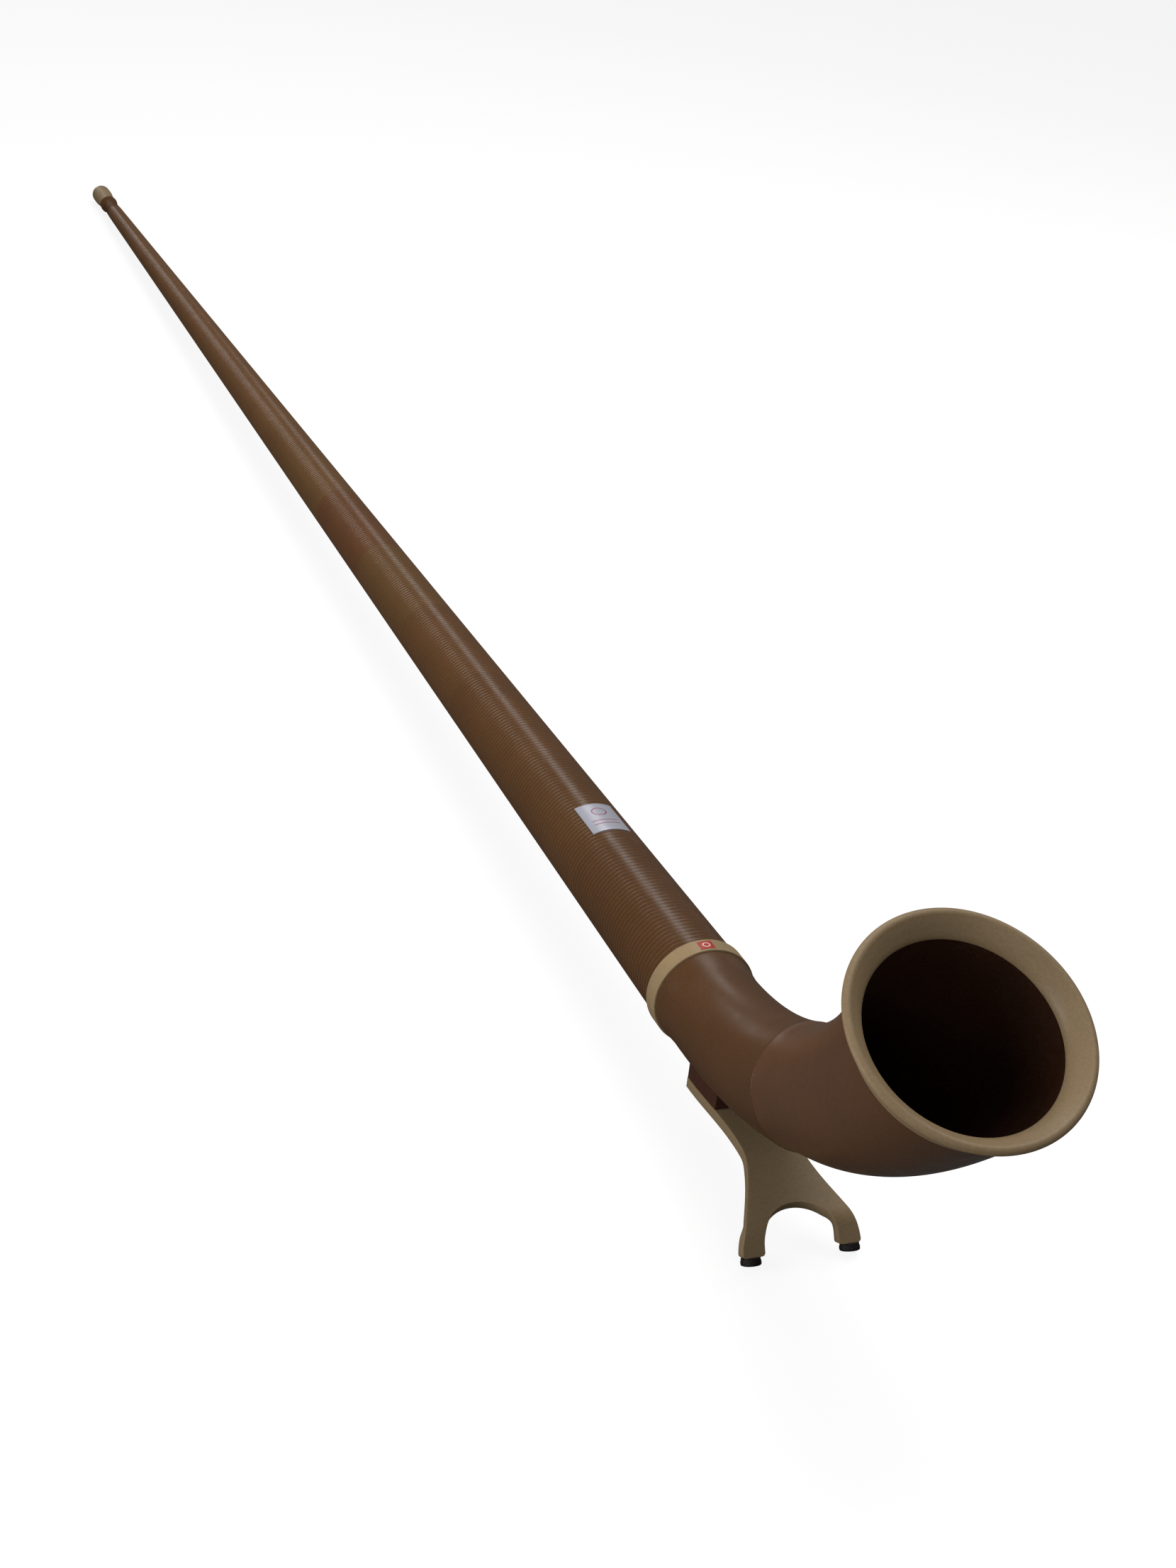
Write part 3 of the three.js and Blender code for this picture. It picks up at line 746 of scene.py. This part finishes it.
emblem = curved_plate(
    "emblem_plate", "bell_assembly", emblem_start, emblem_end, emblem_half_width / collar_radius,
    middle=emblem_turn, base=collar_outside, height=emblem_height, counts=(12, 14))
emblem.data.materials.append(printed(
    "emblem_print", ground=written(168, 46, 33), ink=written(222, 200, 190), ring=(0, 0.0032),
    rules=(), line=0.0014, roughness=0.35, metallic=0.0))


# Stand board
# A board moulded in beige plastic, bent down at the heel and again at the toes, with a narrow
# neck and an arch between its two legs. Its edges and leg ends are rounded. Its beige is a
# little darker than the trim's, in part its own tone and in part painted shade for its face.
board_thickness = 0.01
board_rear, board_drop = 0.065, 0.0537
board_flat, heel_radius, heel_turn = 0.117, 0.046, math.radians(22.5)
shin, toe_radius, toe_turn, toe = 0.0525, 0.022, math.radians(40), 0.0165
rear_half, neck_half, foot_half = 0.0288, 0.024, 0.0555
neck_at, splay_power = 0.088, 1.4
arch_radius, arch_rise = 0.0348, 0.0432
leg_corner = 0.003
board_edge = 0.0012
board_stretches = (
    (board_flat, 0), (heel_radius * heel_turn, heel_radius), (shin, 0),
    (toe_radius * toe_turn, toe_radius), (toe, 0))
board_length = sum(length for length, _ in board_stretches)
arch_centre = board_length - arch_rise + arch_radius


def board_line(distance):
    """The board's upper face in side view: its straights and downward arcs end to end. Gives
    x, z and the angle below the tube's axis."""
    x = np.full_like(distance, board_rear)
    z = np.full_like(distance, -board_drop)
    angle = np.zeros_like(distance)
    gone = 0.0
    for length, radius in board_stretches:
        run = np.clip(distance - gone, 0, length)
        if radius:
            bent = angle + run / radius
            x = x + radius * (np.sin(bent) - np.sin(angle))
            z = z - radius * (np.cos(angle) - np.cos(bent))
            angle = bent
        else:
            x, z = x + run * np.cos(angle), z - run * np.sin(angle)
        gone += length
    return x, z, angle


def board_half_width(distance):
    """Half the board's width: eased from the rear edge to the neck, and from there to the feet."""
    rear = rear_half + (neck_half - rear_half) * smooth_share(distance / neck_at)
    splay = np.clip((distance - neck_at) / (board_length - neck_at), 0, 1) ** splay_power
    return np.where(distance < neck_at, rear, neck_half + (foot_half - neck_half) * smooth_share(splay))


def corner_cut(distance):
    """How far a leg's sides draw in to round its end corners."""
    into = np.clip(distance - (board_length - leg_corner), 0, leg_corner)
    return leg_corner - np.sqrt(leg_corner ** 2 - into ** 2)


def arch_half_width(distance):
    """Half the arch's width: a half circle, then straight down to the feet."""
    reach = np.clip(arch_centre - distance, 0, None)
    return np.sqrt(np.clip(arch_radius ** 2 - reach ** 2, 0, None))


def faced_piece(name, points, faces, body, stands_for):
    """A piece made of points and the faces between them."""
    mesh = bpy.data.meshes.new(name)
    mesh.from_pydata(points.reshape(-1, 3).tolist(), [], faces)
    mesh.update()
    return placed(bpy.data.objects.new(name, mesh), body, stands_for)


def rounded_edges(piece, width):
    """Rounds a piece's sharp edges."""
    soften = piece.modifiers.new("rounded_edges", "BEVEL")
    soften.width = width
    soften.segments = 3
    soften.limit_method = "ANGLE"
    soften.angle_limit = math.radians(50)
    piece.data.shade_smooth()
    piece.data.set_sharp_from_angle(angle=math.radians(60))


neck_rows, arch_rows, leg_rows, corner_rows, half_board_columns = 60, 26, 6, 7, 15
arch_top = arch_centre - arch_radius
arch_steps = arch_centre - arch_radius * np.cos(np.linspace(0, np.pi / 2, arch_rows)[1:])
corner_steps = board_length - leg_corner + leg_corner * np.sin(np.linspace(0, np.pi / 2, corner_rows))
leg_steps = np.linspace(arch_centre, corner_steps[0], leg_rows)[1:-1]
stations = np.concatenate([np.linspace(0, arch_top, neck_rows), arch_steps, leg_steps, corner_steps])
inner = np.where(stations > arch_top, arch_half_width(stations) + corner_cut(stations), 0)
outer = board_half_width(stations) - corner_cut(stations)
width = inner[:, None] + (outer - inner)[:, None] * np.linspace(0, 1, half_board_columns)[None, :]
board_x, board_z, _ = (part[:, None] for part in board_line(stations))
half_faces = grid_faces(*width.shape, closed=(False, False))
board = faced_piece(
    "bent_board",
    np.stack([in_frame(board_x, width, board_z), in_frame(board_x, -width, board_z)[:, ::-1]]),
    np.concatenate([half_faces, half_faces + width.size]).tolist(),
    "bell_assembly", ["stand_board"])
weld = board.modifiers.new("centre_line", "WELD")
weld.merge_threshold = 0.00002
thicken = board.modifiers.new("thickness", "SOLIDIFY")
thicken.thickness = board_thickness
thicken.offset = -1
rounded_edges(board, board_edge)
# Partly painted shade: the board's beige is darkened for its face, which lies in shade.
board_pale_shaded, board_pale_shaded_warm = written(130, 111, 84), written(134, 113, 84)
board.data.materials.append(plastic(
    "board_beige", board_pale_shaded, board_pale_shaded_warm, cloud_size=0.04, roughness=0.42, waviness=0.15))


# Saddle block
# A brown block screwed on the board's rear end, its brown painted darker than the shells' as
# painted shade. Its sides are flush with the board's, and its top is hollowed to the curve of
# the bend, which rests in it.
block_length, block_rise = 0.055, 0.017
block_edge = 0.0006
block_rows, block_columns = 14, 40
block_x = np.linspace(board_rear, board_rear + block_length, block_rows)
block_half = board_half_width(block_x - board_rear) - glued_gap
block_y = block_half[:, None] * np.linspace(-1, 1, block_columns)[None, :]
_, axis_height, _ = (part[:, None] for part in centre_line(block_x))
hollow = axis_height - np.sqrt((outside(block_x)[:, None] + running_gap) ** 2 - block_y ** 2)
top = in_frame(block_x[:, None], block_y, np.minimum(hollow, -board_drop + block_rise))
bottom = in_frame(block_x[:, None], block_y[:, ::-1], np.full_like(block_y, -board_drop + glued_gap))
slices = np.concatenate([top, bottom], 1)
rows, columns = slices.shape[:2]
end_caps = [list(range(columns)), list(range(rows * columns - 1, (rows - 1) * columns - 1, -1))]
block = faced_piece(
    "hollowed_block", slices, grid_faces(rows, columns, closed=(False, True)).tolist() + end_caps,
    "bell_assembly", ["saddle_block"])
rounded_edges(block, block_edge)
# Painted shade: the block's brown is darker than the shells', for the shade under the bell.
block_brown_shaded, block_brown_shaded_warm = written(62, 36, 26), written(66, 36, 24)
block.data.materials.append(plastic(
    "block_brown_shaded", block_brown_shaded, block_brown_shaded_warm, cloud_size=0.03, roughness=0.42, waviness=0.1))


# Screws and feet
# Four cross-headed screws are sunk in the board from below and hold the block. Under each leg
# a black rubber foot sits on a pin: a short stud with a rounded, grooved sole.
def turned_about(centre, axis, side, profile, faces):
    """Points of a profile of (advance, radius) pairs, carried round a straight axis. A radius
    may be one number or one for each face."""
    advance = np.array([pair[0] for pair in profile])
    radius = np.array([np.broadcast_to(pair[1], faces) for pair in profile])
    turn = np.linspace(0, 2 * np.pi, faces, endpoint=False)
    spokes = np.cos(turn)[:, None] * side + np.sin(turn)[:, None] * np.cross(side, axis)
    return centre + advance[:, None, None] * axis + radius[..., None] * spokes[None]


def metal(name, color, roughness):
    """Bright plated steel with fine turning marks and dull spots."""
    made, tree = bare_material(name)
    place = wired(tree, "ShaderNodeTexCoord").outputs["Object"]
    shade = noise(tree, place, scale=900, detail=4, spread=0.25, low=0.8, high=1.1)
    finish_surface(tree, shaded(tree, (*color, 1), shade), calc(tree, "MULTIPLY", shade, roughness),
                   shade, strength=0.2, distance=0.0001, Metallic=1.0)
    return made


point = 0.00001
screw_steel = metal("screw_steel", written(190, 190, 192), roughness=0.35)
head_radius, head_height = 0.0042, 0.0024
head_round = 0.04 * head_radius
screw_radius, screw_length, screw_tip = 0.0019, 0.015, 0.9
screw_offset, screw_inset = 0.014, 0.014
recess_depth, recess_reach, recess_width, recess_draft = 0.0012, 0.0022, 0.0009, 0.8
thread_pitch, thread_depth = 0.0013, 0.0003
thread_start, thread_end = 1.1 * head_height, 0.85 * screw_length
screw_faces = 64
face_turn = np.linspace(0, 2 * np.pi, screw_faces, endpoint=False)
off_axis = np.minimum(np.abs(np.sin(face_turn)), np.abs(np.cos(face_turn)))
recess = recess_width / 2 / np.maximum(off_axis, recess_width / 2 / recess_reach)
thread_advance = np.linspace(thread_start, thread_end, num=60)
thread_radius = screw_radius - thread_depth * np.abs(np.sin(np.pi * thread_advance / thread_pitch))
screw_profile = [
    (recess_depth, point), (recess_depth, recess * recess_draft), (0, recess),
    (0, head_radius - head_round), (head_round, head_radius), (head_height, screw_radius),
    *zip(thread_advance, thread_radius),
    (screw_length * screw_tip, screw_radius * screw_tip), (screw_length, point),
]
head_level = -board_drop - board_thickness + running_gap / 3
screw_places = [
    (x, side * screw_offset)
    for x in (board_rear + screw_inset, board_rear + block_length - screw_inset) for side in (-1, 1)]
for number, (x, y) in enumerate(screw_places, 1):
    points = turned_about(in_frame(x, y, head_level), upward, along, screw_profile, screw_faces)
    screw = grid_piece(f"cross_head_screw_{number}", points, "bell_assembly",
                       [f"stand_screw_{number}"], closed=(False, True))
    screw.data.materials.append(screw_steel)

foot_radius, foot_height, foot_offset = 0.009, 0.0067, 0.0465
pin_radius, pin_length, pin_round = 0.003, 0.012, 0.0004
stud_top, stud_edge, stud_waist = 0.9 * foot_radius, 0.95 * foot_radius, 0.94 * foot_radius
stud_round, waist_height, sole_height = 0.0006, 0.3 * foot_height, 0.45 * foot_height
sole_round = 0.0012
sole_inset = 1.4 * sole_round
sole_grooves, groove_half_depth, groove_steepness = 4.5, 0.00025, 2
leg_x, leg_z, leg_angle = (float(part) for part in board_line(np.array(board_length)))
leg_direction = math.cos(leg_angle) * along - math.sin(leg_angle) * upward
leg_normal = math.sin(leg_angle) * along + math.cos(leg_angle) * upward
groove_radius = np.linspace(foot_radius - sole_inset, point, num=60)
groove_wave = np.sin(groove_radius / foot_radius * sole_grooves * 2 * np.pi)
groove = groove_half_depth * (np.clip(groove_steepness * groove_wave, -1, 1) - 1)
foot_profile = [
    (-pin_length, point), (-pin_length, pin_radius - pin_round), (-pin_length + pin_round, pin_radius),
    (glued_gap, pin_radius), (glued_gap, stud_top), (glued_gap + stud_round, stud_edge),
    (waist_height, stud_waist), (sole_height, foot_radius),
    *arc_points((foot_height - sole_round, foot_radius - sole_round), sole_round, 0, np.pi / 2, count=7),
    *zip(foot_height + groove, groove_radius),
]
foot_black = plastic(
    "foot_black", written(21, 16, 15), written(17, 13, 12), cloud_size=0.01, roughness=0.62, waviness=0.3)
for name, side in (("left", 1), ("right", -1)):
    leg_end = in_frame(leg_x, side * foot_offset, leg_z) - leg_normal * board_thickness / 2
    points = turned_about(leg_end, leg_direction, across, foot_profile, faces=72)
    foot = grid_piece(f"rubber_foot_{name}", points, "bell_assembly", [f"foot_{name}"],
                      closed=(False, True))
    foot.data.materials.append(foot_black)
